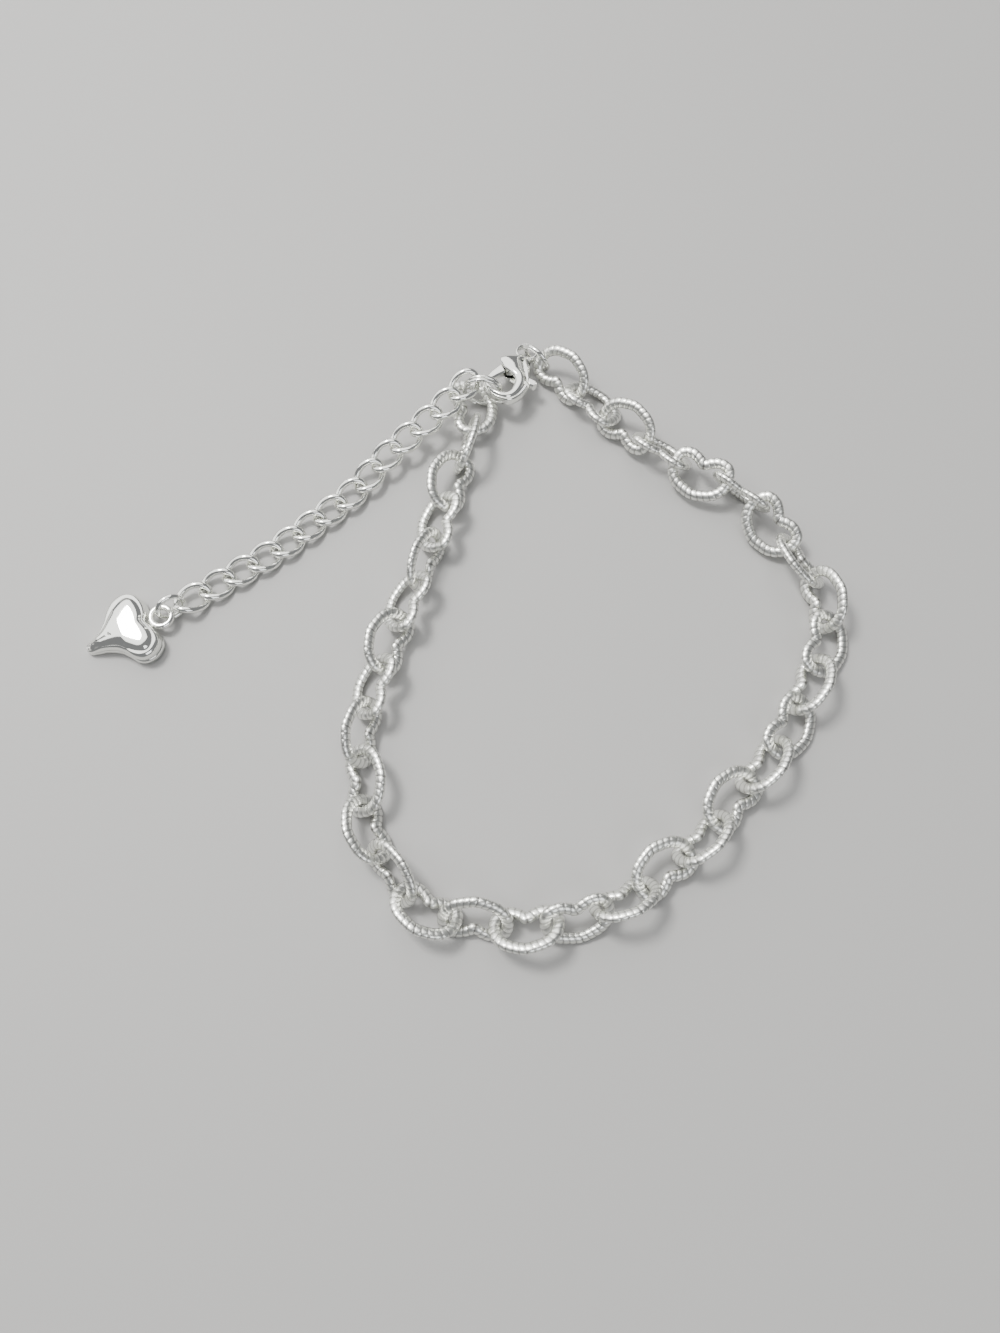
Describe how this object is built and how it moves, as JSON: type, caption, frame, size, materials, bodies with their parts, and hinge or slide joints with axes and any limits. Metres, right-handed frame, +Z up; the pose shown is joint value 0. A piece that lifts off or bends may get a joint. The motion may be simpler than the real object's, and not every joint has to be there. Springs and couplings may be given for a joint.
{
  "type": "bracelet",
  "caption": "Silver chain bracelet of linked open hearts, laid in a loose loop, with a lobster clasp and an extender chain ending in a puffed heart charm",
  "frame": {"origin": "bottom centre of the bracelet's bounding box, on the surface that it lies on", "axes": "+Z up, away from the surface. +Y from the loop's near end to the clasp. +X to the right, away from the charm"},
  "size_m": [0.0842, 0.0718, 0.0053],
  "materials": {
    "cut_silver": "satin, cut with fine crosswise grooves",
    "silver": "polished"
  },
  "bodies": {
    "bracelet": {"heart_link_01": "cut_silver", "heart_link_02": "cut_silver", "heart_link_03": "cut_silver", "heart_link_04": "cut_silver", "heart_link_05": "cut_silver", "heart_link_06": "cut_silver", "heart_link_07": "cut_silver", "heart_link_08": "cut_silver", "heart_link_09": "cut_silver", "heart_link_10": "cut_silver", "heart_link_11": "cut_silver", "heart_link_12": "cut_silver", "heart_link_13": "cut_silver", "heart_link_14": "cut_silver", "heart_link_15": "cut_silver", "heart_link_16": "cut_silver", "heart_link_17": "cut_silver", "heart_link_18": "cut_silver", "heart_link_19": "cut_silver", "heart_link_20": "cut_silver", "heart_link_21": "cut_silver", "heart_link_22": "cut_silver", "heart_link_23": "cut_silver", "heart_link_24": "cut_silver", "heart_link_25": "cut_silver", "heart_link_26": "cut_silver", "heart_link_27": "cut_silver", "heart_link_28": "cut_silver", "heart_link_29": "cut_silver", "heart_link_30": "cut_silver", "heart_link_31": "cut_silver", "heart_link_32": "cut_silver", "heart_link_33": "cut_silver", "clasp_jump_ring": "silver", "clasp_body": "silver", "split_ring": "silver", "extender_link_01": "silver", "extender_link_02": "silver", "extender_link_03": "silver", "extender_link_04": "silver", "extender_link_05": "silver", "extender_link_06": "silver", "extender_link_07": "silver", "extender_link_08": "silver", "extender_link_09": "silver", "extender_link_10": "silver", "extender_link_11": "silver", "extender_link_12": "silver", "extender_link_13": "silver", "extender_link_14": "silver", "charm_ring": "silver", "heart_charm": "silver"},
    "clasp_lever": {"clasp_lever": "silver"}
  },
  "joints": [
    {"name": "clasp_gate", "type": "hinge", "parent": "bracelet", "child": "clasp_lever", "pos_m": [0.00488, 0.03202, 0.002], "axis": [0.0601, 0.2097, 0.9759], "range_deg": [0, 16], "stiffness_Nm_per_rad": 0.002}
  ]
}
